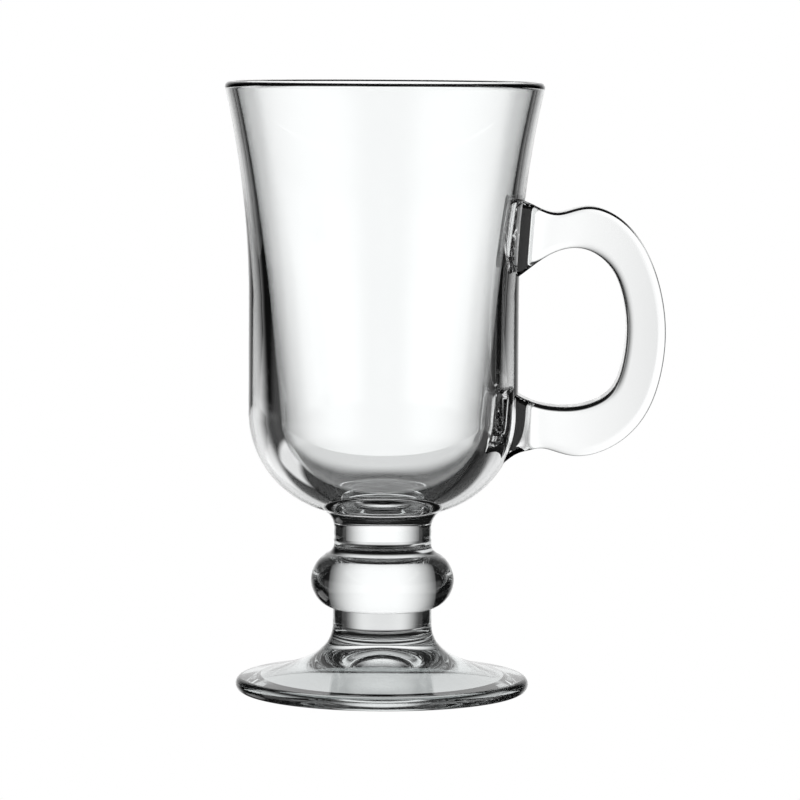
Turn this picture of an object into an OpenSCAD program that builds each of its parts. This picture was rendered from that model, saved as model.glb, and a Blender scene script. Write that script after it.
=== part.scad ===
// Irish coffee glass mug: a flared bowl on a short knopped stem and a round foot,
// with one loop handle. The pieces are gathers of clear glass fused face to face.
// Millimetres. The origin is on the table, on the axis of the glass. +Z is up and
// the handle points along +X.

/* [Foot] */
// Diameter of the foot across its round edge
foot_d = 71.2; // [66:0.2:78]
// Radius of the foot's half-round edge
foot_edge_r = 1.8; // [1.4:0.05:2.4]
// Slope of the foot's top just inside its edge, in degrees
foot_slope = 10; // [6:1:15]
// How far the foot's top holds that slope as it sweeps up to the stem
foot_sweep = 15; // [10:0.5:18]
// Width of the flat ring that the foot stands on
foot_ring_w = 3.8; // [2.5:0.1:5]
// Height of the small step inside the ring
foot_step_h = 0.7; // [0.4:0.1:1]
// Width of that step
foot_step_w = 1.1; // [0.6:0.1:2]
// Slope of the hollow's wall just inside that step, in degrees
hollow_slope = 14; // [9:1:18]
// Thickness of the glass from the top of the hollow to the foot's seam with the collar
foot_crown_t = 2.1; // [1.4:0.1:4]

/* [Stem] */
// Diameter of the collar at its waist, under the knop
collar_d = 24; // [22:0.2:26]
// Height of that waist over the table
collar_h = 16.5; // [15:0.5:18]
// How far the collar stays upright as it sweeps down to the foot
collar_sweep = 7.2; // [5:0.2:9]
// Diameter of the knop
knop_d = 34.8; // [32:0.1:38]
// Radius of the knop's rounded side
knop_side_r = 7.2; // [6.8:0.1:8]
// Height of the knop's widest line over the table
knop_h = 27.2; // [26.5:0.1:28.5]
// Diameter of the neck between the knop and the bowl
neck_d = 23.7; // [21:0.1:26]
// Radius of the fillet between the knop and the neck
neck_fillet_r = 2.5; // [1.5:0.1:3]
// Radius of the flare from the neck into the bowl
neck_flare_r = 4.5; // [3.5:0.1:6]

/* [Bowl] */
// Height of the whole glass, from the table to the top of the rim
glass_h = 148; // [142:0.5:156]
// Diameter of the bowl's upright wall
body_d = 65.4; // [62:0.2:70]
// Radius of the bowl's rounded underside
corner_r = 24.6; // [22:0.2:26]
// Height at which the rounded underside meets the upright wall
corner_h = 68; // [66:0.2:70]
// Height at which the wall starts to flare
flare_h = 95; // [85:1:105]
// Diameter over the rim
rim_d = 77.2; // [70:0.2:84]
// Thickness of the rounded lip
lip_t = 2.8; // [2:0.1:3.4]

/* [Cavity] */
// Height of the cavity's floor over the table
floor_h = 49.4; // [48:0.2:52]
// Radius of the cavity's rounded floor
floor_r = 19; // [13:0.5:21]
// Diameter of the cavity where the rounded floor meets the wall
cavity_low_d = 50; // [48:0.2:56]
// Diameter of the cavity at the height where the bowl starts to flare
cavity_mid_d = 55.6; // [53:0.2:60]

/* [Handle] */
// How far the handle stands out from the upright wall
handle_reach = 35.4; // [30:0.2:42]
// Height of the lowest point of the handle's loop over the table
handle_low_h = 57.9; // [56:0.1:62]
// How far below the rim the highest point of the loop lies
handle_drop = 29.7; // [25:0.1:35]
// Width of the handle across its flat sides
handle_w = 10.4; // [8:0.2:13]
// Radius of the handle's rounded edges
handle_edge_r = 1.7; // [1:0.1:2.4]

/* [Hidden] */

// Smoothness: segments of a full turn, of an arc or curve, of a long curve, of each
// half of the lip, of a rounded edge of the handle and of the handle between stations
turn_segments = 96;
arc_steps = 10;
long_steps = 16;
lip_steps = 6;
edge_steps = 4;
handle_steps = 4;

// Colours of the clear glass, from the thin bowl to the thick foot
bowl_colour = [0.93, 0.95, 0.95];
stem_colour = [0.84, 0.87, 0.87];
foot_colour = [0.72, 0.79, 0.78];
glass_alpha = 0.55;

// Radii of the turned pieces
foot_r = foot_d / 2;
collar_r = collar_d / 2;
knop_r = knop_d / 2;
neck_r = neck_d / 2;
body_r = body_d / 2;
rim_r = rim_d / 2;
lip_r = lip_t / 2;
cavity_low_r = cavity_low_d / 2;
cavity_mid_r = cavity_mid_d / 2;

// The foot: where its resting ring lies, and the curve from its edge to the collar
ring_out_r = foot_r - foot_edge_r;
ring_in_r = ring_out_r - foot_ring_w;
edge_centre = [ring_out_r, foot_edge_r];
edge_end = edge_centre + foot_edge_r * [sin(foot_slope), cos(foot_slope)];
sweep_curve = [
    edge_end,
    edge_end + foot_sweep * [-cos(foot_slope), sin(foot_slope)],
    [collar_r, collar_h - collar_sweep],
    [collar_r, collar_h]
];
// The share of the curve that belongs to the foot, up to its seam with the collar
foot_curve_share = 0.72;
foot_seam = bezier(sweep_curve, foot_curve_share);

// The hollow under the foot: how far its curve holds its level top and the slope of its
// wall, as shares of its radius
hollow_top_share = 0.21;
hollow_wall_share = 0.42;
hollow_r = ring_in_r - foot_step_w;
hollow_h = foot_seam.y - foot_crown_t;
hollow_curve = [
    [0, hollow_h],
    [hollow_top_share * hollow_r, hollow_h],
    [hollow_r, foot_step_h]
        + hollow_wall_share * hollow_r * [-cos(hollow_slope), sin(hollow_slope)],
    [hollow_r, foot_step_h]
];

// The knop: the centre of its rounded side, and its seams with collar and neck
knop_centre = [knop_r - knop_side_r, knop_h];
knop_low_angle = -acos((collar_r - knop_centre.x) / knop_side_r);
knop_low_h = knop_h + knop_side_r * sin(knop_low_angle);
fillet_dx = neck_r + neck_fillet_r - knop_centre.x;
fillet_angle = acos(fillet_dx / (knop_side_r + neck_fillet_r));
fillet_centre = knop_centre
    + (knop_side_r + neck_fillet_r) * [cos(fillet_angle), sin(fillet_angle)];
knop_top = knop_centre + knop_side_r * [cos(fillet_angle), sin(fillet_angle)];

// The bowl's underside: its rounded corner, and the flare that meets it from the neck
corner_centre = [body_r - corner_r, corner_h];
flare_dx = neck_r + neck_flare_r - corner_centre.x;
flare_angle = acos(flare_dx / (corner_r + neck_flare_r));
flare_centre = corner_centre
    + (corner_r + neck_flare_r) * [cos(flare_angle), -sin(flare_angle)];
bowl_seam_h = flare_centre.y;

// The bowl's wall: one long arc from the upright wall out to the lip
lip_centre = [rim_r - lip_r, glass_h - lip_r];
wall_angle = 2 * atan((rim_r - body_r) / (lip_centre.y - flare_h));
wall_arc_r = (lip_centre.y - flare_h) / sin(wall_angle) - lip_r;
wall_centre = [body_r + wall_arc_r, flare_h];

// The cavity: its rounded floor, its tapered wall and the curve up to the lip. The two
// shares say how far the curve holds the taper at its foot and the lip's slope at its top.
taper_hold_share = 0.5;
lip_hold_share = 0.23;
cavity_rise = glass_h - lip_t / 2 - flare_h;
floor_centre_h = floor_h + floor_r;
taper_angle = atan((cavity_mid_r - cavity_low_r) / (flare_h - floor_centre_h));
floor_centre = [cavity_low_r - floor_r * cos(taper_angle), floor_centre_h];
lip_inside = lip_centre + lip_r * [-cos(wall_angle), sin(wall_angle)];
cavity_curve = [
    [cavity_mid_r, flare_h],
    [cavity_mid_r, flare_h]
        + taper_hold_share * cavity_rise * [sin(taper_angle), cos(taper_angle)],
    lip_inside - lip_hold_share * cavity_rise * [sin(wall_angle), cos(wall_angle)],
    lip_inside
];

// The handle: the height of its loop from the lowest to the highest point
handle_loop_h = glass_h - handle_drop - handle_low_h;

// The handle's outer and inner edges at matching stations, from the upper root to
// the lower one. X is a share of the reach and Z a share of the loop's height. The
// first and last stations lie inside the wall, which trims them.
outer_edge_shares = [
    [-0.14, 1.07], [0.02, 1.025], [0.1, 1.004], [0.257, 0.975], [0.46, 1], [0.686, 0.952],
    [0.856, 0.833], [0.958, 0.68], [1, 0.507], [0.969, 0.326], [0.862, 0.162],
    [0.658, 0.045], [0.398, 0], [0.19, 0.028], [0.07, 0.022], [-0.04, 0.001], [-0.2, -0.08]
];
inner_edge_shares = [
    [-0.17, 0.66], [-0.015, 0.718], [0.065, 0.75], [0.217, 0.81], [0.39, 0.834], [0.534, 0.805],
    [0.644, 0.737], [0.709, 0.634], [0.733, 0.505], [0.706, 0.366], [0.636, 0.268],
    [0.506, 0.217], [0.347, 0.198], [0.18, 0.204], [0.075, 0.222], [-0.02, 0.252], [-0.2, 0.33]
];
// The handle's width at the same stations, as shares of its width at the loop
width_shares = [1.5, 1.4, 1.05, 1, 1, 1, 1, 1, 1, 1, 1, 1, 1, 1, 1.05, 1.4, 1.5];

// A point on a cubic curve with four control points
function bezier(p, t) =
    pow(1 - t, 3) * p[0] + 3 * pow(1 - t, 2) * t * p[1]
    + 3 * (1 - t) * pow(t, 2) * p[2] + pow(t, 3) * p[3];

// Points along a cubic curve from one share of it to another
function curve(p, from, to, steps) =
    [for (i = [0:steps]) bezier(p, from + (to - from) * i / steps)];

// Points along an arc from one angle to another
function arc(centre, r, from, to, steps) = [
    for (i = [0:steps])
        let (a = from + (to - from) * i / steps)
            centre + r * [cos(a), sin(a)]
];

// A value between b and c on a smooth curve through a, b, c and d
function through(a, b, c, d, t) =
    b + (c - a) * t / 2
    + (2 * a - 5 * b + 4 * c - d) * pow(t, 2) / 2
    + (3 * b - a - 3 * c + d) * pow(t, 3) / 2;

// A table of stations, read at a place between station i and the next
function along(table, i, t) =
    let (last = len(table) - 1)
        through(
            table[max(i - 1, 0)], table[i],
            table[min(i + 1, last)], table[min(i + 2, last)], t
        );

// A pair of shares as a place in the handle's plane, beside the upright wall
function in_loop(share) =
    [body_r + share.x * handle_reach, handle_low_h + share.y * handle_loop_h];

// A rounded rectangle, counter-clockwise, with half sides a and b
function rounded(a, b, r) = [
    for (corner = [0:3])
        let (
            side_x = (corner == 0 || corner == 3) ? a - r : r - a,
            side_y = (corner < 2) ? b - r : r - b
        )
            each arc([side_x, side_y], r, corner * 90, corner * 90 + 90, edge_steps)
];

// One ring of the handle, between station i and the next
function handle_ring(i, t) =
    let (
        outer = in_loop(along(outer_edge_shares, i, t)),
        inner = in_loop(along(inner_edge_shares, i, t)),
        middle = (outer + inner) / 2,
        across = (outer - inner) / norm(outer - inner),
        half_t = norm(outer - inner) / 2,
        half_w = handle_w * along(width_shares, i, t) / 2
    )
        [
            for (q = rounded(half_t, half_w, handle_edge_r))
                [middle.x + q.x * across.x, q.y, middle.y + q.x * across.y]
        ];

// Outline of the foot: hollow underside, resting ring, round edge and rising top
function foot_outline() = [
    each curve(hollow_curve, 0, 1, long_steps),
    [ring_in_r, 0],
    each arc(edge_centre, foot_edge_r, -90, 90 - foot_slope, arc_steps),
    each curve(sweep_curve, 1 / long_steps, foot_curve_share, long_steps),
    [0, foot_seam.y]
];

// Outline of the collar: from its seam with the foot up to the knop's lower crease
function collar_outline() = [
    [0, foot_seam.y],
    each curve(sweep_curve, foot_curve_share, 1, arc_steps),
    [collar_r, knop_low_h],
    [0, knop_low_h]
];

// Outline of the knop: one round side between its two seams
function knop_outline() = [
    [0, knop_low_h],
    each arc(knop_centre, knop_side_r, knop_low_angle, fillet_angle, long_steps),
    [0, knop_top.y]
];

// Outline of the neck: a fillet off the knop, then upright to the bowl
function neck_outline() = [
    [0, knop_top.y],
    each arc(fillet_centre, neck_fillet_r, 180 + fillet_angle, 180, arc_steps),
    [neck_r, bowl_seam_h],
    [0, bowl_seam_h]
];

// Outside of the bowl, from its seam with the neck up to the lip
function bowl_outside() = [
    each arc(flare_centre, neck_flare_r, 180, 180 - flare_angle, arc_steps),
    each arc(corner_centre, corner_r, -flare_angle * (1 - 1 / long_steps), 0, long_steps),
    each arc(wall_centre, wall_arc_r, 180, 180 - wall_angle, long_steps)
];

// Round top of the lip, between the outside and the cavity
function lip_top() =
    let (inner_step = (90 - wall_angle) / lip_steps)
        [
            each arc(lip_centre, lip_r, 0, 90, lip_steps),
            each arc(lip_centre, lip_r, 90 + inner_step, 180 - wall_angle, lip_steps - 1)
        ];

// Wall and floor of the cavity, from the lip down to the axis
function cavity_outline() = [
    each curve(cavity_curve, 1 - 1 / long_steps, 0, long_steps),
    each arc(floor_centre, floor_r, -taper_angle, -90, arc_steps),
    [0, floor_h]
];

// Turns an outline round the axis of the glass
module turned(outline) {
    rotate_extrude($fn = turn_segments) polygon(outline);
}

// The bowl without its cavity, which the handle's roots are trimmed to
module bowl_envelope() {
    turned([[0, bowl_seam_h], each bowl_outside(), each lip_top(), [0, lip_inside.y]]);
}

// The whole sweep of the handle, before its roots are trimmed
module handle_sweep() {
    rings = [
        for (i = [0:len(outer_edge_shares) - 2])
            for (s = [0:handle_steps - 1])
                handle_ring(i, s / handle_steps),
        handle_ring(len(outer_edge_shares) - 2, 1)
    ];
    sides = len(rings[0]);
    last = len(rings) - 1;
    walls = [
        for (k = [0:last - 1])
            for (j = [0:sides - 1])
                let (
                    a = k * sides + j,
                    b = k * sides + (j + 1) % sides,
                    c = b + sides,
                    d = a + sides
                )
                    each [[a, c, b], [a, d, c]]
    ];
    start_cap = [for (j = [0:sides - 1]) j];
    end_cap = [for (j = [sides - 1:-1:0]) last * sides + j];
    polyhedron(points = [for (ring = rings) each ring], faces = [start_cap, each walls, end_cap]);
}

module bowl() {
    color(bowl_colour, glass_alpha)
        turned([[0, bowl_seam_h], each bowl_outside(), each lip_top(), each cavity_outline()]);
}

module stem_neck() {
    color(stem_colour, glass_alpha) turned(neck_outline());
}

module stem_knop() {
    color(stem_colour, glass_alpha) turned(knop_outline());
}

module stem_collar() {
    color(stem_colour, glass_alpha) turned(collar_outline());
}

module foot() {
    color(foot_colour, glass_alpha) turned(foot_outline());
}

module handle() {
    color(bowl_colour, glass_alpha)
        difference() {
            handle_sweep();
            bowl_envelope();
        }
}

bowl();
stem_neck();
stem_knop();
stem_collar();
foot();
handle();
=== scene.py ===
# %% [markdown]
# An Irish coffee glass is looked at twice: once as a shape, and once as a lens. This lesson
# turns each gather of glass from a fine outline, fuses the gathers without a trace, and then
# builds a bright-field studio round them, because clear glass shows nothing but its
# surroundings.

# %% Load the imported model
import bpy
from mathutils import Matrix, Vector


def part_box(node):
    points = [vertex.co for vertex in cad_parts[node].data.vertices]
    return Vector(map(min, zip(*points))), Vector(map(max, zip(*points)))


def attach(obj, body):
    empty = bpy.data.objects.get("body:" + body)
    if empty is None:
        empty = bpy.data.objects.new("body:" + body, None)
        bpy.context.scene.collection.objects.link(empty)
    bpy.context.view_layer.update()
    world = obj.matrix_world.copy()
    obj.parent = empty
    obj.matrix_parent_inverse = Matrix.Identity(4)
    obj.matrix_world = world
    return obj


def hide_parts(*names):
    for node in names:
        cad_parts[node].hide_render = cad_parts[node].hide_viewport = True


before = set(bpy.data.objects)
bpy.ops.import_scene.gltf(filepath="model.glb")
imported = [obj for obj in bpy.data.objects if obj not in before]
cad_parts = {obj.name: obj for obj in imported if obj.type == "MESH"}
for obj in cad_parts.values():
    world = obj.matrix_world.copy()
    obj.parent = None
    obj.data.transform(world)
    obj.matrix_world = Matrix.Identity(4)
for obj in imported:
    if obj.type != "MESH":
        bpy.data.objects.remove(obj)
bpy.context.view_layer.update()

# %% Tools and units
import math

import bpy
import numpy as np
from mathutils import Matrix

MM = 0.001


# %% [markdown]
# Every outline below is a chain of stretches: straight lines, arcs and cubic curves. Each
# stretch knows its points and its directions, so the shading normal of a turned surface can
# be exact at every point. Exact normals matter more on glass than on anything else, because
# light bends by them twice at every wall.

# %% Stretches of an outline
def arc(centre, radius, start, end, steps):
    """Points centre + radius * (cos a, sin a) for angles a from start to end in degrees,
    with the direction of travel at each."""
    a = np.radians(np.linspace(start, end, steps + 1))
    points = np.array(centre) + radius * np.column_stack([np.cos(a), np.sin(a)])
    travel = np.sign(end - start) * np.column_stack([-np.sin(a), np.cos(a)])
    return points, travel


def line(start, end, steps=1):
    """Points spaced evenly from start to end, all with the same direction."""
    t = np.linspace(0, 1, steps + 1)[:, None]
    start, end = np.array(start, float), np.array(end, float)
    travel = (end - start) / np.linalg.norm(end - start)
    return start + (end - start) * t, np.tile(travel, (steps + 1, 1))


def cubic(control, start, end, steps):
    """Points of the cubic Bezier curve with four control points, for shares of it from
    start to end, and the curve's derivative there as the direction."""
    p = np.array(control, float)
    t = np.linspace(start, end, steps + 1)[:, None]
    s = 1 - t
    points = s**3 * p[0] + 3 * s**2 * t * p[1] + 3 * s * t**2 * p[2] + t**3 * p[3]
    slope = s**2 * (p[1] - p[0]) + 2 * s * t * (p[2] - p[1]) + t**2 * (p[3] - p[2])
    travel = slope / np.linalg.norm(slope, axis=1)[:, None]
    return points, travel * np.sign(end - start)


# %% [markdown]
# The sizes repeat those of the solids, in millimetres. What the frame already knows, such as
# the height and the widths, is read from the boxes of its nodes instead of being typed again.

# %% Sizes of the foot and the stem
def width_of(node):
    """Width of a turned node along Y, in millimetres."""
    low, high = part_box(node)
    return (high.y - low.y) / MM


foot_r = width_of("foot") / 2
foot_edge_r = 1.8
foot_slope = math.radians(10)
foot_sweep = 15.0
foot_ring_w = 3.8
foot_step_h = 0.7
foot_step_w = 1.1
foot_crown_t = 2.1
hollow_slope = math.radians(14)
hollow_top_share = 0.21
hollow_wall_share = 0.42
collar_r = 12.0
collar_h = 16.5
collar_sweep = 7.2
foot_curve_share = 0.72
knop_r = width_of("stem_knop") / 2
knop_side_r = 7.2
knop_h = 27.2
neck_r = 11.85
neck_fillet_r = 2.5
neck_flare_r = 4.5
print("foot", round(2 * foot_r, 2), "mm across, knop", round(2 * knop_r, 2), "mm")

# %% Sizes of the bowl and its cavity
glass_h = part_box("bowl")[1].z / MM
rim_r = width_of("bowl") / 2
body_r = 32.7
corner_r = 24.6
corner_h = 68.0
flare_h = 95.0
lip_r = 1.4
floor_h = 49.4
floor_r = 19.0
cavity_low_r = 25.0
cavity_mid_r = 27.8
cavity_start_share = 0.5
cavity_end_share = 0.23
print("rim radius", round(rim_r, 2), "mm, height", round(glass_h, 2), "mm")

# %% [markdown]
# Neighbouring stretches of the outline have to meet without a kink, so their joints aren't
# typed but worked out. Two circles that touch have their centres as far apart as their radii
# together, and that gives the place of every fillet.

# %% Curves of the foot and the hollow under it
ring_out_r = foot_r - foot_edge_r
ring_in_r = ring_out_r - foot_ring_w
edge_centre = np.array([ring_out_r, foot_edge_r])
edge_end = edge_centre + foot_edge_r * np.array([math.sin(foot_slope), math.cos(foot_slope)])
sweep_curve = [
    edge_end,
    edge_end + foot_sweep * np.array([-math.cos(foot_slope), math.sin(foot_slope)]),
    (collar_r, collar_h - collar_sweep),
    (collar_r, collar_h),
]
foot_seam = cubic(sweep_curve, 0, foot_curve_share, 1)[0][-1]
hollow_r = ring_in_r - foot_step_w
hollow_h = foot_seam[1] - foot_crown_t
hollow_way = np.array([-math.cos(hollow_slope), math.sin(hollow_slope)])
hollow_edge = np.array([hollow_r, foot_step_h])
hollow_curve = [
    (0, hollow_h),
    (hollow_top_share * hollow_r, hollow_h),
    hollow_edge + hollow_wall_share * hollow_r * hollow_way,
    hollow_edge,
]
print("hollow under the foot", round(float(hollow_h), 2), "mm high")

# %% Arcs of the knop and the fillet above it
knop_centre = np.array([knop_r - knop_side_r, knop_h])
knop_low_angle = -math.acos((collar_r - knop_centre[0]) / knop_side_r)
knop_low_h = knop_h + knop_side_r * math.sin(knop_low_angle)
fillet_dx = neck_r + neck_fillet_r - knop_centre[0]
fillet_angle = math.acos(fillet_dx / (knop_side_r + neck_fillet_r))
fillet_way = np.array([math.cos(fillet_angle), math.sin(fillet_angle)])
fillet_centre = knop_centre + (knop_side_r + neck_fillet_r) * fillet_way
knop_top = knop_centre + knop_side_r * fillet_way
print("knop from", round(knop_low_h, 2), "to", round(float(knop_top[1]), 2), "mm")

# %% Arcs of the bowl's outside and its lip
corner_centre = np.array([body_r - corner_r, corner_h])
flare_dx = neck_r + neck_flare_r - corner_centre[0]
flare_angle = math.acos(flare_dx / (corner_r + neck_flare_r))
flare_way = np.array([math.cos(flare_angle), -math.sin(flare_angle)])
flare_centre = corner_centre + (corner_r + neck_flare_r) * flare_way
bowl_seam_h = flare_centre[1]

lip_centre = np.array([rim_r - lip_r, glass_h - lip_r])
wall_angle = 2 * math.atan((rim_r - body_r) / (lip_centre[1] - flare_h))
wall_arc_r = (lip_centre[1] - flare_h) / math.sin(wall_angle) - lip_r
wall_centre = np.array([body_r + wall_arc_r, flare_h])
print("flare radius", round(wall_arc_r, 1), "mm")

# %% Lines of the cavity
floor_centre_h = floor_h + floor_r
taper_angle = math.atan((cavity_mid_r - cavity_low_r) / (flare_h - floor_centre_h))
floor_centre = np.array([cavity_low_r - floor_r * math.cos(taper_angle), floor_centre_h])
lip_inside = lip_centre + lip_r * np.array([-math.cos(wall_angle), math.sin(wall_angle)])
cavity_rise = lip_centre[1] - flare_h
taper_way = np.array([math.sin(taper_angle), math.cos(taper_angle)])
wall_way = np.array([math.sin(wall_angle), math.cos(wall_angle)])
cavity_mid = np.array([cavity_mid_r, flare_h])
cavity_low = floor_centre + floor_r * np.array([math.cos(taper_angle), -math.sin(taper_angle)])
cavity_curve = [
    cavity_mid,
    cavity_mid + cavity_start_share * cavity_rise * taper_way,
    lip_inside - cavity_end_share * cavity_rise * wall_way,
    lip_inside,
]
wall_angle_deg = math.degrees(wall_angle)
taper_angle_deg = math.degrees(taper_angle)
seam_heights = (foot_seam[1], knop_low_h, knop_top[1], bowl_seam_h)
print("seams at", [round(float(h), 2) for h in seam_heights], "mm")

# %% [markdown]
# A turned surface is a grid: one direction runs along the outline and the other round the
# axis. Rows that reach the axis close in triangles at one pole point. The mesh is written as
# whole arrays, and each face corner gets the exact normal of its own stretch, so a crease
# between two stretches stays crisp and a smooth meeting stays smooth.

# %% Write faces and corner normals into a mesh
def build_mesh(name, points, groups, materials):
    """Makes a mesh object from points in millimetres and groups of faces. A group is
    (corner indices n x k, corner normals n x k x 3, material index n)."""
    mesh = bpy.data.meshes.new(name)
    counts = np.concatenate([np.full(len(g[0]), g[0].shape[1]) for g in groups])
    corners = np.concatenate([g[0].ravel() for g in groups])
    normals = np.concatenate([g[1].reshape(-1, 3) for g in groups])
    slots = np.concatenate([g[2] for g in groups])
    mesh.vertices.add(len(points))
    mesh.vertices.foreach_set("co", (points * MM).astype(np.float32).ravel())
    mesh.loops.add(len(corners))
    mesh.loops.foreach_set("vertex_index", corners.astype(np.int32))
    mesh.polygons.add(len(counts))
    starts = np.concatenate([[0], np.cumsum(counts)[:-1]])
    mesh.polygons.foreach_set("loop_start", starts.astype(np.int32))
    mesh.polygons.foreach_set("material_index", slots.astype(np.int32))
    mesh.polygons.foreach_set("use_smooth", np.ones(len(counts), bool))
    mesh.update(calc_edges=True)
    mesh.validate(clean_customdata=False)
    mesh.normals_split_custom_set(normals.astype(np.float32))
    for material in materials:
        mesh.materials.append(material)
    piece = bpy.data.objects.new(name, mesh)
    bpy.context.scene.collection.objects.link(piece)
    faces = int((counts - 2).sum())
    print(f"{name}: {len(points)} points, {faces} triangles")
    return piece


# %% Faces between two rows of a turned surface
TURN_STEPS = 360
turn_angles = 2 * np.pi * np.arange(TURN_STEPS) / TURN_STEPS
turn_ways = np.column_stack([np.cos(turn_angles), np.sin(turn_angles)])


def spun_normals(travel):
    """Normals of a stretch in every direction round the axis. The outline runs anticlockwise in
    (radius, height), so the outside is on its right: the normal is the direction of travel
    turned by minus 90 degrees."""
    outward = np.column_stack([travel[:, 1], -travel[:, 0]])
    level = outward[:, None, :1] * turn_ways[None]
    return np.concatenate([level, np.repeat(outward[:, None, 1:], TURN_STEPS, 1)], axis=2)


def strip_faces(first, ring, low, high):
    """Faces between a low row and a high one, with their corner normals: quads between two
    rings, and triangles where one of the rows is a single point on the axis."""
    here = np.arange(TURN_STEPS)
    beside = (here + 1) % TURN_STEPS
    a, b = first[0] + here * ring[0], first[1] + here * ring[1]
    corners = np.column_stack([a, a[beside], b[beside], b])
    normals = np.stack([low, low[beside], high[beside], high], axis=1)
    # A row on the axis is one point, so its second corner would repeat the first.
    kept = [0] + [1] * ring[0] + [2] * ring[1] + [3]
    return corners[:, kept], normals[:, kept]


# %% Turn an outline into faces
ON_AXIS = 1e-6


def joined(groups):
    """One group of faces from many."""
    return tuple(np.concatenate(part) for part in zip(*groups))


def turned_grid(stretches, slots):
    """Turns a chain of stretches round the Z axis. Returns the outline, the number of each
    row's first point, the points, the quads with their rows, and the pole triangles."""
    outline = np.concatenate([stretches[0][0][:1]] + [stretch[1:] for stretch, _ in stretches])
    ring = outline[:, 0] > ON_AXIS
    first = np.cumsum(np.concatenate([[0], np.where(ring, TURN_STEPS, 1)]))[:-1]
    points = np.concatenate([
        np.column_stack([r * turn_ways, np.full(TURN_STEPS, z)]) if on else [[0.0, 0.0, z]]
        for (r, z), on in zip(outline, ring)
    ])
    quads, quad_rows, fans = [], [], []
    k = 0
    for (_, travel), slot in zip(stretches, slots):
        normals = spun_normals(travel)
        for low, high in zip(normals[:-1], normals[1:]):
            faces = strip_faces(first[k:k + 2], ring[k:k + 2].tolist(), low, high)
            if ring[k] and ring[k + 1]:
                quads.append(faces + (np.full(TURN_STEPS, slot),))
                quad_rows.append(np.full(TURN_STEPS, k))
            else:
                fans.append(faces + (np.full(TURN_STEPS, slot),))
            k += 1
    return {
        "outline": outline,
        "first": first,
        "points": points,
        "quads": joined(quads),
        "rows": np.concatenate(quad_rows),
        "fans": joined(fans),
    }


# %% [markdown]
# The whole object is soda-lime glass, the common glass of tableware. It is shaped hot and then
# fire-polished: a flame melts the skin smooth, so there is no grain and no scratch to see, only
# a mirror surface with a faint ripple about as wide as a fingertip. It could be a mix of glossy
# and refraction shaders, but one Principled shader with full transmission keeps the two in
# balance by itself. Thin walls look clear. The foot's glass is tinted darker: this is partly the
# cast of thick glass and partly painted shade for the shaded table seen through the foot.

# %% Colour and node helpers
def linear(hex_colour):
    """Turns an sRGB hex colour into linear RGBA: dark channels by a straight line, the others
    by a power of 2.4."""
    channels = [int(hex_colour[i:i + 2], 16) / 255 for i in (0, 2, 4)]
    return [c / 12.92 if c <= 0.04045 else ((c + 0.055) / 1.055) ** 2.4 for c in channels] + [1.0]


def add_node(tree, kind, settings=None, links=None):
    """Adds a node, sets its properties and input values, and links its inputs."""
    node = tree.nodes.new(kind)
    for key, value in (settings or {}).items():
        if isinstance(key, int) or key in node.inputs:
            node.inputs[key].default_value = value
        else:
            setattr(node, key, value)
    for key, socket in (links or {}).items():
        tree.links.new(socket, node.inputs[key])
    return node


# %% Fire-polished soda-lime glass
GLASS, SEAM = 0, 1
SODA_LIME_IOR = 1.52
RIPPLE_WIDTH = 14 * MM
RIPPLE_HEIGHT = 0.02 * MM


def soda_lime_glass(name, tint):
    """Fire-polished soda-lime glass. Its smooth skin gives the eye crisp black and white bands,
    and its ripple makes them waver a little."""
    material = bpy.data.materials.new(name)
    material.use_nodes = True
    tree = material.node_tree
    tree.nodes.clear()
    glass = add_node(tree, "ShaderNodeBsdfPrincipled", {
        "Base Color": linear(tint), "Roughness": 0.0, "IOR": SODA_LIME_IOR,
        "Transmission Weight": 1.0,
    })
    place = add_node(tree, "ShaderNodeTexCoord")
    ripple = add_node(tree, "ShaderNodeTexNoise", {
        "Scale": 1 / RIPPLE_WIDTH, "Detail": 0.0,
    }, {"Vector": place.outputs["Object"]})
    skin = add_node(tree, "ShaderNodeBump", {
        "Strength": 1.0, "Distance": RIPPLE_HEIGHT,
    }, {"Height": ripple.outputs[0]})
    tree.links.new(skin.outputs[0], glass.inputs["Normal"])
    add_node(tree, "ShaderNodeOutputMaterial", links={"Surface": glass.outputs[0]})
    print(name, "ripple", round(RIPPLE_WIDTH / MM, 1), "mm wide,", RIPPLE_HEIGHT / MM, "mm high")
    return material


def fused_seam():
    """The seam inside two gathers of the same glass. They melted into one, so it bends no light
    and the eye sees nothing there."""
    material = bpy.data.materials.new("fused seam in glass")
    material.use_nodes = True
    tree = material.node_tree
    tree.nodes.clear()
    clear = add_node(tree, "ShaderNodeBsdfTransparent", {"Color": (1, 1, 1, 1)})
    add_node(tree, "ShaderNodeOutputMaterial", links={"Surface": clear.outputs[0]})
    return material


seam = fused_seam()
bowl_glass = soda_lime_glass("bowl, fire-polished soda-lime glass", "fcfdfd")
stem_glass = soda_lime_glass("stem, fire-polished soda-lime glass", "f8fafa")
# The foot's much darker tint is partly the cast of thick glass and partly painted shade, standing
# in for the shaded table seen through the foot.
foot_glass = soda_lime_glass("foot, fire-polished soda-lime glass with painted shade", "d0d4d4")

# %% [markdown]
# The foot is a pressed disc with a rounded edge, a flat ring that it rests on, a small step and
# a deep curved hollow underneath. It could be a lathe curve with a Screw modifier, but a turned
# outline with exact normals keeps the lens that its hollow makes free of facets. It ends in a
# flat fused seam, so it and the collar are two closed solids and yet look like one glass.

# %% Foot
def finish_piece(piece, slot, *nodes):
    """Rides a piece on the one body and hides the nodes it stands for. The slot is not used."""
    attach(piece, "root")
    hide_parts(*nodes)


def turned_piece(name, stretches, slots, material):
    """Makes a piece of one glass from its outline, with the seams where its slots say so."""
    grid = turned_grid(stretches, slots)
    return build_mesh(name, grid["points"], [grid["quads"], grid["fans"]], [material, seam])


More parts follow.
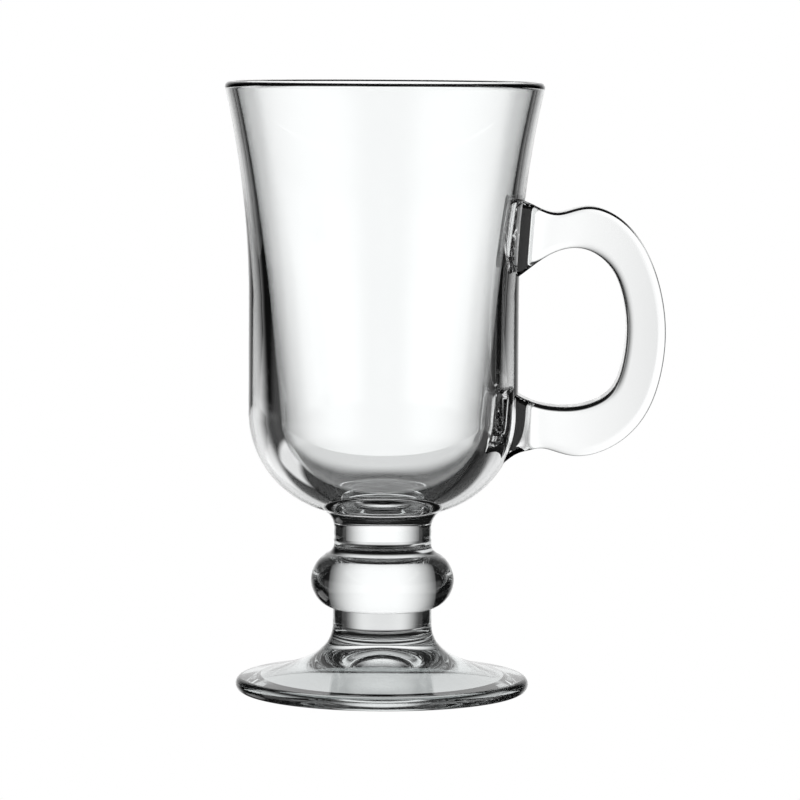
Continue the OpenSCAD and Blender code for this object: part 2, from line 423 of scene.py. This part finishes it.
HOLLOW_STEPS, EDGE_STEPS, SWEEP_STEPS, FLAT_STEPS = 60, 40, 70, 2
foot_outline = [
    cubic(hollow_curve, 0, 1, HOLLOW_STEPS),
    line(hollow_edge, (ring_in_r, 0), FLAT_STEPS),
    line((ring_in_r, 0), (ring_out_r, 0), FLAT_STEPS),
    arc(edge_centre, foot_edge_r, -90, 90 - math.degrees(foot_slope), EDGE_STEPS),
    cubic(sweep_curve, 0, foot_curve_share, SWEEP_STEPS),
    line(foot_seam, (0, foot_seam[1])),
]
foot = turned_piece("foot_disc", foot_outline, [GLASS] * 5 + [SEAM], foot_glass)
finish_piece(foot, "foot_glass", "foot")

# %% [markdown]
# The collar is where the foot sweeps up into the stem. The sweep is one cubic curve on the real
# glass, so it isn't drawn twice: the foot takes the first share of it and the collar the rest.

# %% Collar
COLLAR_SWEEP_STEPS, COLLAR_WALL_STEPS = 40, 4
collar_outline = [
    line((0, foot_seam[1]), foot_seam),
    cubic(sweep_curve, foot_curve_share, 1, COLLAR_SWEEP_STEPS),
    line((collar_r, collar_h), (collar_r, knop_low_h), COLLAR_WALL_STEPS),
    line((collar_r, knop_low_h), (0, knop_low_h)),
]
collar = turned_piece("collar", collar_outline, [SEAM, GLASS, GLASS, SEAM], stem_glass)
finish_piece(collar, "clear_glass", "stem_collar")

# %% [markdown]
# The knop is the bulge in the middle of the stem, the strongest lens of the whole object. Its
# side is one arc. A flattened sphere would bulge at the wrong places, so the arc is cut where
# it meets the collar and the neck, at angles worked out from the three radii.

# %% Knop
KNOP_STEPS = 80
knop_from = math.degrees(knop_low_angle)
knop_to = math.degrees(fillet_angle)
knop_outline = [
    line((0, knop_low_h), (collar_r, knop_low_h)),
    arc(knop_centre, knop_side_r, knop_from, knop_to, KNOP_STEPS),
    line(knop_top, (0, knop_top[1])),
]
knop = turned_piece("knop", knop_outline, [SEAM, GLASS, SEAM], stem_glass)
finish_piece(knop, "clear_glass", "stem_knop")

# %% [markdown]
# The neck is the short upright stretch between knop and bowl. A small fillet, tangent to the
# knop's arc, leads into it, as hot glass never leaves a sharp inner corner.

# %% Neck
NECK_FILLET_STEPS, NECK_WALL_STEPS = 24, 8
neck_outline = [
    line((0, knop_top[1]), knop_top),
    arc(fillet_centre, neck_fillet_r, 180 + knop_to, 180, NECK_FILLET_STEPS),
    line((neck_r, fillet_centre[1]), (neck_r, bowl_seam_h), NECK_WALL_STEPS),
    line((neck_r, bowl_seam_h), (0, bowl_seam_h)),
]
neck = turned_piece("neck", neck_outline, [SEAM, GLASS, GLASS, SEAM], stem_glass)
finish_piece(neck, "clear_glass", "stem_neck")

# %% [markdown]
# The handle is a strap of hot glass, bent to a loop and pressed onto the wall. Its outer and
# inner edges are two different curves, so a bevelled curve object, with its one width, can't
# draw it. Instead a rounded rectangle is carried along stations that give both edges and the
# width as shares of the loop's size, and smooth splines run through them.

# %% Sizes and stations of the handle
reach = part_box("handle")[1].x / MM - body_r
loop_low = 57.9
loop_drop = 29.7
loop_h = glass_h - loop_drop - loop_low
handle_w = 10.4
handle_edge_r = 1.7
outer_edge_shares = np.array([
    [-0.14, 1.07], [0.02, 1.025], [0.1, 1.004], [0.257, 0.975], [0.46, 1], [0.686, 0.952],
    [0.856, 0.833], [0.958, 0.68], [1, 0.507], [0.969, 0.326], [0.862, 0.162],
    [0.658, 0.045], [0.398, 0], [0.19, 0.028], [0.07, 0.022], [-0.04, 0.001], [-0.2, -0.08],
])
inner_edge_shares = np.array([
    [-0.17, 0.66], [-0.015, 0.718], [0.065, 0.75], [0.217, 0.81], [0.39, 0.834], [0.534, 0.805],
    [0.644, 0.737], [0.709, 0.634], [0.733, 0.505], [0.706, 0.366], [0.636, 0.268],
    [0.506, 0.217], [0.347, 0.198], [0.18, 0.204], [0.075, 0.222], [-0.02, 0.252], [-0.2, 0.33],
])
width_shares = np.array([1.5, 1.4, 1.05, 1, 1, 1, 1, 1, 1, 1, 1, 1, 1, 1, 1.05, 1.4, 1.5])
loop_sizes = np.array([reach, loop_h])
outer_edge = np.array([body_r, loop_low]) + outer_edge_shares * loop_sizes
inner_edge = np.array([body_r, loop_low]) + inner_edge_shares * loop_sizes
stations = np.column_stack([outer_edge, inner_edge, width_shares * handle_w / 2])
last_station = len(stations) - 1
print("handle loop", np.round(loop_sizes, 1), "mm, stations", len(stations))


# %% Splines through the stations
def spline_slopes(values):
    """Slopes of the natural cubic spline through values at 0, 1, 2 and so on: the slopes d
    solve d[i-1] + 4 d[i] + d[i+1] = 3 (v[i+1] - v[i-1]), with free ends."""
    n = len(values)
    system = 4 * np.eye(n) + np.eye(n, k=1) + np.eye(n, k=-1)
    system[0, 0] = system[-1, -1] = 2
    ahead = np.concatenate([values[1:], values[-1:]])
    behind = np.concatenate([values[:1], values[:-1]])
    return np.linalg.solve(system, 3 * (ahead - behind))


def spline(values, slopes, t):
    """Cubic Hermite interpolation of the stations at the places t."""
    i = np.clip(np.floor(t).astype(int), 0, len(values) - 2)
    u = (t - i)[..., None]
    a, b, da, db = values[i], values[i + 1], slopes[i], slopes[i + 1]
    return (
        a * (2 * u**3 - 3 * u**2 + 1) + da * (u**3 - 2 * u**2 + u)
        + b * (3 * u**2 - 2 * u**3) + db * (u**3 - u**2)
    )


station_slopes = spline_slopes(stations)


# %% Section of the handle
def rounded_section(u, a, b, r):
    """Point of a rounded rectangle with half sides a and b, at the share u of the way round.
    The way round is measured on four straight sides and four quarter circles, starting in the
    middle of the +a side."""
    flat_a, flat_b, turn = a - r, b - r, r * np.pi / 2 + 0 * a
    total = 4 * (flat_a + flat_b + turn)
    s = (u % 1) * total
    x, y = np.zeros_like(s), np.zeros_like(s)
    ends = np.cumsum(np.stack([
        flat_b, turn, 2 * flat_a, turn, 2 * flat_b, turn, 2 * flat_a, turn, flat_b
    ]), axis=0)
    begins = np.concatenate([np.zeros((1,) + ends.shape[1:]), ends[:-1]])
    for k in range(9):
        on = (s >= begins[k]) & (s <= ends[k])
        d = s - begins[k]
        if k % 2:
            turned = (k // 2) * np.pi / 2 + d / r
            cx = flat_a * (1 if k in (1, 7) else -1)
            cy = flat_b * (1 if k in (1, 3) else -1)
            px, py = cx + r * np.cos(turned), cy + r * np.sin(turned)
        else:
            px = {0: a, 2: flat_a - d, 4: -a, 6: -flat_a + d, 8: a}[k] + 0 * d
            py = {0: d, 2: b, 4: flat_b - d, 6: -b, 8: -flat_b + d}[k] + 0 * d
        x, y = np.where(on, px, x), np.where(on, py, y)
    return x, y


# %% Surface of the handle
def handle_surface(u, t):
    """Point of the handle at the share u round its section and the place t along its
    stations: the section spans the inner and outer edges in the plane of the handle."""
    v = spline(stations, station_slopes, t)
    outer, inner, half_w = v[..., 0:2], v[..., 2:4], v[..., 4]
    span = np.linalg.norm(outer - inner, axis=-1)
    across = (outer - inner) / span[..., None]
    x, y = rounded_section(u, span / 2, half_w, handle_edge_r)
    plane = (outer + inner) / 2 + x[..., None] * across
    return np.stack([plane[..., 0], y, plane[..., 1]], axis=-1)


ROUND_STEP, ALONG_STEP = 2e-4, 2e-3


def handle_normals(u, t):
    """Cross product of the surface's differences over a small step round and along it."""
    round_way = handle_surface(u + ROUND_STEP, t) - handle_surface(u - ROUND_STEP, t)
    along_way = handle_surface(u, t + ALONG_STEP) - handle_surface(u, t - ALONG_STEP)
    n = np.cross(round_way, along_way)
    return n / np.linalg.norm(n, axis=-1)[..., None]


# %% [markdown]
# The handle has to end exactly on the bowl, so the bowl's outside is wanted as a formula too:
# its radius and its normal at any height. Halving a range then finds the line where they meet.

# %% The bowl's outside as a function of height
def bowl_radius(z):
    """Outside radius at height z: the lower corner's circle, the upright wall, then the
    flare's circle."""
    low = corner_centre[0] + np.sqrt(np.maximum(corner_r**2 - (z - corner_h)**2, 0))
    high = wall_centre[0] - np.sqrt(np.maximum(wall_arc_r**2 - (z - flare_h)**2, 0))
    return np.where(z < corner_h, low, np.where(z > flare_h, high, body_r))


def bowl_normal(angle, z):
    """Outward normal there: from the corner's centre, or towards the flare's centre."""
    r = bowl_radius(z)
    low = np.stack([r - corner_centre[0], z - corner_h], axis=-1)
    high = np.stack([wall_centre[0] - r, flare_h - z], axis=-1)
    flat = np.stack([np.ones_like(z), np.zeros_like(z)], axis=-1)
    n = np.where((z < corner_h)[..., None], low, np.where((z > flare_h)[..., None], high, flat))
    n = n / np.linalg.norm(n, axis=-1)[..., None]
    return np.stack([n[..., 0] * np.cos(angle), n[..., 0] * np.sin(angle), n[..., 1]], axis=-1)


def on_bowl(angle, z):
    """Point of the bowl's outside at an angle round the axis and a height."""
    r = bowl_radius(z)
    return np.stack([r * np.cos(angle), r * np.sin(angle), z], axis=-1)


HALVINGS = 50


def meets_bowl(u, inside, outside):
    """For each share u of the section, the place along the handle where its surface crosses
    the bowl's outside, by halving the range between a place inside and one outside."""
    a, b = np.full_like(u, inside, dtype=float), np.full_like(u, outside, dtype=float)
    for _ in range(HALVINGS):
        m = (a + b) / 2
        p = handle_surface(u, m)
        within = np.hypot(p[..., 0], p[..., 1]) < bowl_radius(p[..., 2])
        a, b = np.where(within, m, a), np.where(within, b, m)
    return (a + b) / 2


# %% [markdown]
# The bowl has a rounded bottom, an upright wall and a slow flare up to a fire-polished lip,
# round a cavity with a taper and a thick round floor of its own. A Solidify modifier would give
# one even wall, and the real one isn't even. So the outline goes up the outside, over the lip
# and down the cavity, and the wall has both its real surfaces.

# %% Bowl outline
FILLET_STEPS, CORNER_STEPS, WALL_STEPS, FLARE_STEPS = 16, 36, 24, 48
LIP_STEPS, CAVITY_STEPS, TAPER_STEPS, FLOOR_STEPS, BASE_STEPS = 28, 40, 16, 40, 4
OUTSIDE_ROWS = 1 + FILLET_STEPS + CORNER_STEPS + WALL_STEPS + FLARE_STEPS
bowl_outline = [
    line((0, bowl_seam_h), (neck_r, bowl_seam_h)),
    arc(flare_centre, neck_flare_r, 180, 180 - math.degrees(flare_angle), FILLET_STEPS),
    arc(corner_centre, corner_r, -math.degrees(flare_angle), 0, CORNER_STEPS),
    line((body_r, corner_h), (body_r, flare_h), WALL_STEPS),
    arc(wall_centre, wall_arc_r, 180, 180 - wall_angle_deg, FLARE_STEPS),
    arc(lip_centre, lip_r, -wall_angle_deg, 180 - wall_angle_deg, LIP_STEPS),
    cubic(cavity_curve, 1, 0, CAVITY_STEPS),
    line(cavity_mid, cavity_low, TAPER_STEPS),
    arc(floor_centre, floor_r, -taper_angle_deg, -90, FLOOR_STEPS),
    line((floor_centre[0], floor_h), (0, floor_h), BASE_STEPS),
]
bowl_grid = turned_grid(bowl_outline, [SEAM] + [GLASS] * 9)
print("bowl outline:", len(bowl_grid["outline"]), "points")

# %% [markdown]
# Where the handle is fused on, the bowl has no wall of its own: glass runs through. A Boolean
# modifier would cut it so, but it leaves bad shading round the cut, which clear glass shows at
# once. So a window is left out of the bowl's grid at each root. Rings of faces blend from the
# window's border to the line where the handle leaves the bowl, and a fused seam fills the rest.

# %% Windows in the bowl's grid
COLUMN = 2 * np.pi / TURN_STEPS
UPPER_WINDOW = {"low_z": 97.5, "high_z": 124.5, "half": 18}
LOWER_WINDOW = {"low_z": 50.5, "high_z": 77.5, "half": 15}


def window_rows(outline, low_z, high_z):
    """First and last row of the bowl's outside between two heights."""
    outside = outline[:OUTSIDE_ROWS, 1]
    rows = np.flatnonzero((outside >= low_z) & (outside <= high_z))
    return rows[0], rows[-1]


def window_border(grid, row_a, row_b, half):
    """Grid points round the window, anticlockwise seen from outside, as (row, column). The
    window has half as many columns to each side of the handle's plane."""
    columns, rows = np.arange(-half, half + 1), np.arange(row_a, row_b + 1)
    return np.concatenate([
        np.column_stack([np.full(2 * half, row_a), columns[:-1]]),
        np.column_stack([rows[:-1], np.full(len(rows) - 1, half)]),
        np.column_stack([np.full(2 * half, row_b), columns[:0:-1]]),
        np.column_stack([rows[:0:-1], np.full(len(rows) - 1, -half)]),
    ])


# %% Line where the handle leaves the bowl
LOOP_SAMPLES = 4000


def root_loop(border_angle, border_z, inside, outside):
    """The line where the handle leaves the bowl, with one point facing each border point:
    the way from the root's middle to both has the same direction on the unrolled wall."""
    dense_u = np.arange(LOOP_SAMPLES) / LOOP_SAMPLES
    dense = handle_surface(dense_u, meets_bowl(dense_u, inside, outside))
    angle, z = np.arctan2(dense[:, 1], dense[:, 0]), dense[:, 2]
    mid_z = (z.max() + z.min()) / 2
    way = np.unwrap(np.arctan2(z - mid_z, angle * body_r))
    step = 1
    if way[-1] < way[0]:
        way, dense_u = way[::-1], dense_u[::-1] - 1
        step = -1
    want = np.arctan2(border_z - mid_z, border_angle * body_r)
    want = way[0] + (want - way[0]) % (2 * np.pi)
    way, dense_u = np.append(way, way[0] + 2 * np.pi), np.append(dense_u, dense_u[0] + step)
    u = np.interp(want, way, dense_u)
    t = meets_bowl(u % 1, inside, outside)
    loop = handle_surface(u % 1, t)
    return u % 1, t, np.arctan2(loop[:, 1], loop[:, 0]), loop[:, 2], mid_z


# %% Blend and seam of a root
def ring_quads(ids, material):
    """Quads between rings of points, each ring anticlockwise seen from outside and lying
    inside the ring before it."""
    nxt = np.roll(ids, -1, axis=1)
    quads = np.stack([ids[:-1], nxt[:-1], nxt[1:], ids[1:]], axis=-1).reshape(-1, 4)
    return quads, np.full(len(quads), material)


def blend_faces(rings, angle, z):
    """Quads between rings of points that lie on the bowl, with the bowl's own normals."""
    quads, slots = ring_quads(rings, GLASS)
    here = bowl_normal(angle, z)
    beside = np.roll(here, -1, axis=1)
    normals = np.stack([here[:-1], beside[:-1], beside[1:], here[1:]], axis=2)
    return quads, normals.reshape(-1, 4, 3), slots


def seam_faces(rings, hub, way):
    """Quads between the rings of a seam and a fan round its last point, the hub. They face
    along X: outwards where the way is 1, for the bowl, and inwards where it is -1, for the
    handle."""
    quads, slots = ring_quads(rings, SEAM)
    last = rings[-1]
    fan = np.column_stack([last, np.roll(last, -1), np.full(len(last), hub)])
    if way < 0:
        quads, fan = quads[:, ::-1], fan[:, [1, 0, 2]]
    normal = np.array([way, 0.0, 0.0])
    return [
        (quads, np.tile(normal, (len(quads), 4, 1)), slots),
        (fan, np.tile(normal, (len(fan), 3, 1)), np.full(len(fan), SEAM)),
    ]


# %% A root of the handle
BLEND_RINGS, SEAM_RINGS = 10, 8


def make_root(grid, inside, outside, first_id, low_z, high_z, half):
    """One root of the handle, between the station inside the bowl and the one outside it. Its
    points lie on the bowl: rings that blend evenly from the window's border to the handle's
    line, then the rings of the seam, which shrink evenly to the root's middle."""
    row_a, row_b = window_rows(grid["outline"], low_z, high_z)
    border = window_border(grid, row_a, row_b, half)
    border_id = grid["first"][border[:, 0]] + border[:, 1] % TURN_STEPS
    angle_b, z_b = border[:, 1] * COLUMN, grid["outline"][border[:, 0], 1]
    u, t, angle, z, mid_z = root_loop(angle_b, z_b, inside, outside)
    share = (np.arange(BLEND_RINGS + 1) / BLEND_RINGS)[:, None]
    blend_angle, blend_z = angle_b + (angle - angle_b) * share, z_b + (z - z_b) * share
    left = (1 - np.arange(1, SEAM_RINGS) / SEAM_RINGS)[:, None]
    all_angle = np.append(np.concatenate([blend_angle[1:], angle * left]), 0.0)
    all_z = np.append(np.concatenate([blend_z[1:], mid_z + (z - mid_z) * left]), mid_z)
    points = on_bowl(all_angle, all_z)
    count = len(border_id)
    ids = first_id + np.arange(len(points) - 1).reshape(-1, count)
    hub = first_id + len(points) - 1
    blend_rings = np.concatenate([border_id[None], ids[:BLEND_RINGS]])
    blend = blend_faces(blend_rings, blend_angle, blend_z)
    return {
        "rows": (row_a, row_b, half),
        "points": points,
        "seam_points": points[BLEND_RINGS * count:],
        "loop": on_bowl(angle, z),
        "u": u,
        "t": t,
        "groups": [blend] + seam_faces(ids[BLEND_RINGS - 1:], hub, 1.0),
    }


# %% Both roots
ROOT_REACH = 2.0  # stations from the handle's end to where it is clear of the bowl
first_id = len(bowl_grid["points"])
upper = make_root(bowl_grid, 0.0, ROOT_REACH, first_id, **UPPER_WINDOW)
first_id += len(upper["points"])
lower = make_root(bowl_grid, last_station, last_station - ROOT_REACH, first_id, **LOWER_WINDOW)
print("points round a root:", len(upper["loop"]), len(lower["loop"]))
for root in (upper, lower):
    print("root from", np.round(root["loop"].min(0), 1), "to", np.round(root["loop"].max(0), 1))

# %% [markdown]
# Now the bowl's mesh can be put together: its grid without the two windows, the blends round the
# roots, and the seams inside them.

# %% Bowl
quads, quad_normals, quad_slots = bowl_grid["quads"]
rows = bowl_grid["rows"]
columns = np.tile(np.arange(TURN_STEPS), len(rows) // TURN_STEPS)
columns = np.where(columns >= TURN_STEPS // 2, columns - TURN_STEPS, columns)
cut = np.zeros(len(rows), bool)
for root in (upper, lower):
    row_a, row_b, half = root["rows"]
    cut |= (rows >= row_a) & (rows < row_b) & (columns >= -half) & (columns < half)
wall = (quads[~cut], quad_normals[~cut], quad_slots[~cut])
bowl_points = np.concatenate([bowl_grid["points"], upper["points"], lower["points"]])
bowl = build_mesh(
    "bowl_glass", bowl_points,
    [wall, bowl_grid["fans"]] + upper["groups"] + lower["groups"], [bowl_glass, seam]
)
finish_piece(bowl, "clear_glass", "bowl")

# %% [markdown]
# The handle's own grid starts on the upper root's line and ends on the lower one's, point for
# point with the bowl, so no crack shows between the two pieces.

# %% Match the points of the two roots
def facing_points(u_up, u_low):
    """Order of the lower root's points that sets each one beside the upper root's point whose
    share of the section is nearest: turned back if they run the other way, then shifted."""
    m = len(u_up)
    order = np.arange(m)
    unrolled = np.unwrap(u_low, period=1)
    if np.sign(unrolled[-1] - unrolled[0]) != np.sign(u_up[-1] - u_up[0]):
        order = np.concatenate([[0], np.arange(m - 1, 0, -1)])
    ordered = u_low[order]
    offsets = [np.abs((np.roll(ordered, -k) - u_up + 0.5) % 1 - 0.5).sum() for k in range(m)]
    return np.roll(order, -int(np.argmin(offsets)))


def root_seam(root, ring, first):
    """The handle's side of the seam in a root: it repeats the bowl's seam points, which get
    numbers from first on, inside a ring of the handle's own points."""
    points = root["seam_points"]
    inner = first + np.arange(len(points) - 1).reshape(-1, len(ring))
    hub = first + len(points) - 1
    return points, seam_faces(np.concatenate([ring[None], inner]), hub, -1.0)


# %% Handle
HANDLE_STEPS = 260


def handle_piece(upper, lower):
    """The handle's grid: rings from the upper root's line to the lower one's, each ring
    with as many points as the roots. A ring's shares of the section pass evenly from the
    upper root's to the lower root's."""
    m = len(upper["u"])
    u_up = np.unwrap(upper["u"], period=1)
    facing = facing_points(u_up, lower["u"])
    u_end = u_up + (lower["u"][facing] - u_up + 0.5) % 1 - 0.5
    s = np.linspace(0, 1, HANDLE_STEPS + 1)[:, None]
    u = u_up + (u_end - u_up) * s
    t = upper["t"] + (lower["t"][facing] - upper["t"]) * s
    points = handle_surface(u, t)
    points[0], points[-1] = upper["loop"], lower["loop"][facing]
    normals = handle_normals(u, t)
    middle = points[HANDLE_STEPS // 2]
    if ((middle - middle.mean(0)) * normals[HANDLE_STEPS // 2]).sum() < 0:
        normals = -normals
    points, normals = points.reshape(-1, 3), normals.reshape(-1, 3)
    ids = np.arange(len(points)).reshape(-1, m)
    quads, slots = ring_quads(ids, GLASS)
    a, b, c = points[quads[0, :3]]
    if np.dot(np.cross(b - a, c - b), normals[quads[0, 0]]) < 0:
        quads = quads[:, ::-1]
    last_ring = np.empty(m, int)
    last_ring[facing] = ids[-1]
    upper_cap, upper_seam = root_seam(upper, ids[0], len(points))
    lower_cap, lower_seam = root_seam(lower, last_ring, len(points) + len(upper_cap))
    all_points = np.concatenate([points, upper_cap, lower_cap])
    groups = [(quads, normals[quads], slots)] + upper_seam + lower_seam
    return build_mesh("handle_loop", all_points, groups, [bowl_glass, seam])


handle = handle_piece(upper, lower)
finish_piece(handle, "clear_glass", "handle")

# %% [markdown]
# The camera stands where the photograph's did: about a metre away, with the handle to the
# right and seen from its side, a little above the rim, with a long lens.

# %% Camera
CAMERA_PLACE = (0, -1.076, 0.1619)
LENS_MM, SENSOR_MM = 200.4, 36
NEAREST, FARTHEST = 0.05, 50
PITCH_DOWN, YAW, ROLL = math.radians(4.83), math.radians(-0.215), math.radians(0.33)

lens = bpy.data.cameras.new("camera")
lens.sensor_width = SENSOR_MM
lens.lens = LENS_MM
lens.clip_start = NEAREST
lens.clip_end = FARTHEST
camera = bpy.data.objects.new("camera", lens)
bpy.context.scene.collection.objects.link(camera)
bpy.context.scene.camera = camera
aim = Matrix.Rotation(YAW, 4, "Z") @ Matrix.Rotation(math.pi / 2 - PITCH_DOWN, 4, "X")
camera.matrix_world = Matrix.Translation(CAMERA_PLACE) @ aim @ Matrix.Rotation(ROLL, 4, "Z")
print("camera at", CAMERA_PLACE, "m, lens", LENS_MM, "mm")

# %% [markdown]
# Clear glass is drawn by what stands round it. A lit field a quarter of a metre behind it fills
# the middle of every lens in it and fades outwards; the dark beyond its edges draws the black
# bands. Low light ahead, beside and in one corner shines through the foot and the bright edges,
# and makes the glass look clear from its other sides too. All this is seen through the glass
# and in it. The camera itself sees a plain white floor and plain white backdrops.

# %% How far light is followed
GLASS_BOUNCES = 10
SEAM_BOUNCES = 32
scene = bpy.context.scene
scene.view_settings.view_transform = "Standard"
# Light that has met the glass more often, as in the handle's roots, stays dark.
scene.cycles.max_bounces = GLASS_BOUNCES
scene.cycles.transmission_bounces = GLASS_BOUNCES
scene.cycles.glossy_bounces = GLASS_BOUNCES
scene.cycles.transparent_max_bounces = SEAM_BOUNCES
print("light is followed through", GLASS_BOUNCES, "bounces")


# %% Sums and ramps in nodes
def maths(tree, operation, *inputs):
    """A Math node on sockets or plain numbers."""
    node = add_node(tree, "ShaderNodeMath", {"operation": operation})
    for k, value in enumerate(inputs):
        if isinstance(value, (int, float)):
            node.inputs[k].default_value = value
        else:
            tree.links.new(value, node.inputs[k])
    return node.outputs[0]


def ramp(tree, value, places, start=0.0, end=1.0):
    """Passes smoothly from the start value to the end value between two places."""
    low, high = places
    return add_node(tree, "ShaderNodeMapRange", {
        "interpolation_type": "SMOOTHSTEP", 1: low, 2: high, 3: start, 4: end,
    }, {0: value}).outputs[0]


def length(tree, a, b):
    """Root of the sum of two squares."""
    squares = maths(tree, "ADD", maths(tree, "MULTIPLY", a, a), maths(tree, "MULTIPLY", b, b))
    return maths(tree, "SQRT", squares)


def product(tree, first, *others):
    """All the values multiplied."""
    for other in others:
        first = maths(tree, "MULTIPLY", first, other)
    return first


# %% Directions in the world
world = bpy.data.worlds.new("studio")
scene.world = world
world.use_nodes = True
tree = world.node_tree
tree.nodes.clear()
place = add_node(tree, "ShaderNodeTexCoord")
x, y, z = add_node(tree, "ShaderNodeSeparateXYZ", links={0: place.outputs["Generated"]}).outputs
IN_DEGREES = 180 / math.pi
turned = maths(tree, "MULTIPLY", maths(tree, "ARCTAN2", x, y), IN_DEGREES)
azimuth = maths(tree, "ABSOLUTE", turned)
elevation = maths(tree, "MULTIPLY", maths(tree, "ARCTAN2", z, length(tree, x, y)), IN_DEGREES)
print("directions:", len(tree.nodes), "nodes")

# %% Low light ahead, beside and in one corner, with its places in degrees
LOW_LIGHT = 0.85
AHEAD_SIDE, AHEAD_BELOW, AHEAD_ABOVE = (14, 40), (-22, -15), (-1, 1)
BESIDE_FROM, BESIDE_TO, BEHIND_CAMERA = (66, 78), (140, 170), 0.05
BESIDE_BELOW, BESIDE_HORIZON, BESIDE_ABOVE, OVER_HORIZON = (-30, -24), (-1, 6), (20, 30), 0.1
CORNER_FROM, CORNER_TO, CORNER_BELOW, CORNER_ABOVE = (-62, -56), (-34, -28), (-38, -32), (-22, -18)
CEILING_FROM, CEILING_DIM, CEILING_BRIGHT = (20, 30), 0.005, 0.02

ahead = product(
    tree,
    ramp(tree, azimuth, AHEAD_SIDE, LOW_LIGHT, 0),
    ramp(tree, elevation, AHEAD_BELOW),
    ramp(tree, elevation, AHEAD_ABOVE, 1, 0),
)
beside = product(
    tree,
    ramp(tree, azimuth, BESIDE_FROM, 0, LOW_LIGHT),
    ramp(tree, azimuth, BESIDE_TO, 1, BEHIND_CAMERA),
    ramp(tree, elevation, BESIDE_BELOW),
    ramp(tree, elevation, BESIDE_HORIZON, 1, OVER_HORIZON),
    ramp(tree, elevation, BESIDE_ABOVE, 1, 0),
)
corner = product(
    tree,
    ramp(tree, turned, CORNER_FROM, 0, LOW_LIGHT),
    ramp(tree, turned, CORNER_TO, 1, 0),
    ramp(tree, elevation, CORNER_BELOW),
    ramp(tree, elevation, CORNER_ABOVE, 1, 0),
)
ceiling = ramp(tree, elevation, CEILING_FROM, CEILING_DIM, CEILING_BRIGHT)
bright = maths(tree, "ADD", maths(tree, "ADD", ahead, beside), maths(tree, "ADD", corner, ceiling))
glow = add_node(tree, "ShaderNodeBackground", {"Color": (1, 1, 1, 1)}, {"Strength": bright})
add_node(tree, "ShaderNodeOutputWorld", links={"Surface": glow.outputs[0]})
print("world light:", len(tree.nodes), "nodes")


# %% [markdown]
# Glassware is often photographed on a lit white table. The floor and the backdrops are that
# table, for the camera alone: they glow evenly, and shine on nothing. The light field is the
# other way round, out of the camera's sight and shown by the glass. Its glow fades by a formula
# of its own coordinates, so it stays where it is when the camera moves.

# %% A sheet of light
def sheet_of_light(name, corners, strength_of=None, seen=True):
    """A flat sheet that glows by a formula of its Object coordinates. One that is seen shows to
    the camera alone; one that isn't shows only through the glass and in it."""
    mesh = bpy.data.meshes.new(name)
    mesh.from_pydata(corners, [], [(0, 1, 2, 3)])
    sheet = bpy.data.objects.new(name, mesh)
    scene.collection.objects.link(sheet)
    sheet.visible_camera = seen
    for ray in ("visible_diffuse", "visible_shadow", "visible_volume_scatter"):
        setattr(sheet, ray, False)
    for ray in ("visible_glossy", "visible_transmission"):
        setattr(sheet, ray, not seen)
    material = bpy.data.materials.new(f"{name}, even white glow")
    material.use_nodes = True
    nodes = material.node_tree
    nodes.nodes.clear()
    lit = add_node(nodes, "ShaderNodeEmission", {"Color": (1, 1, 1, 1), "Strength": 1.0})
    if strength_of:
        place = add_node(nodes, "ShaderNodeTexCoord")
        axes = add_node(nodes, "ShaderNodeSeparateXYZ", links={0: place.outputs["Object"]})
        nodes.links.new(strength_of(nodes, *axes.outputs), lit.inputs["Strength"])
    add_node(nodes, "ShaderNodeOutputMaterial", links={"Surface": lit.outputs[0]})
    mesh.materials.append(material)


# %% Corners of level and upright sheets
def level_sheet(half, height):
    """Corners of a level square round the axis."""
    return [(x * half, y * half, height) for x, y in ((-1, -1), (1, -1), (1, 1), (-1, 1))]


def upright_sheet(half, low, high, away, quarter_turns=0):
    """Corners of an upright sheet on the +Y side, or turned about the axis by quarter turns."""
    corners = [(-half, away, low), (half, away, low), (half, away, high), (-half, away, high)]
    for _ in range(quarter_turns):
        corners = [(-y, x, z) for x, y, z in corners]
    return corners


# %% Glow of the light field, in metres
FIELD_HALF, FIELD_TOP, FIELD_AWAY = 0.19, 0.48, 0.25
MIDDLE_H, EVEN_RISE, STRETCH = 0.08, 0.0625, 1.6
FADE, MIDDLE_GLOW, EDGE_GLOW = (0.025, 0.205), 1.15, 0.07
SIDE_EDGE, TOP_EDGE = (0.175, FIELD_HALF), (0.4, FIELD_TOP)


def field_strength(nodes, x, y, z):
    """Brightest along an upright line in the middle, fading smoothly with the distance from it,
    and more slowly upwards than sideways, with soft outer edges."""
    rise = maths(nodes, "ABSOLUTE", maths(nodes, "SUBTRACT", z, MIDDLE_H))
    beyond = maths(nodes, "MAXIMUM", maths(nodes, "SUBTRACT", rise, EVEN_RISE), 0.0)
    far = length(nodes, x, maths(nodes, "MULTIPLY", beyond, 1 / STRETCH))
    fade = ramp(nodes, far, FADE, MIDDLE_GLOW, EDGE_GLOW)
    side = ramp(nodes, maths(nodes, "ABSOLUTE", x), SIDE_EDGE, 1, 0)
    return product(nodes, fade, side, ramp(nodes, z, TOP_EDGE, 1, 0))


# %% Floor, backdrops and light field, in metres
FLOOR_H, STUDIO_HALF, STUDIO_LOW, STUDIO_HIGH = -0.0002, 8, -1, 15
sheet_of_light("floor", level_sheet(STUDIO_HALF, FLOOR_H))
for side in range(4):
    corners = upright_sheet(STUDIO_HALF, STUDIO_LOW, STUDIO_HIGH, STUDIO_HALF, side)
    sheet_of_light(f"backdrop_{side}", corners)
field = upright_sheet(FIELD_HALF, 0, FIELD_TOP, FIELD_AWAY)
sheet_of_light("light field", field, field_strength, seen=False)
print("light field", FIELD_AWAY, "m behind the axis")
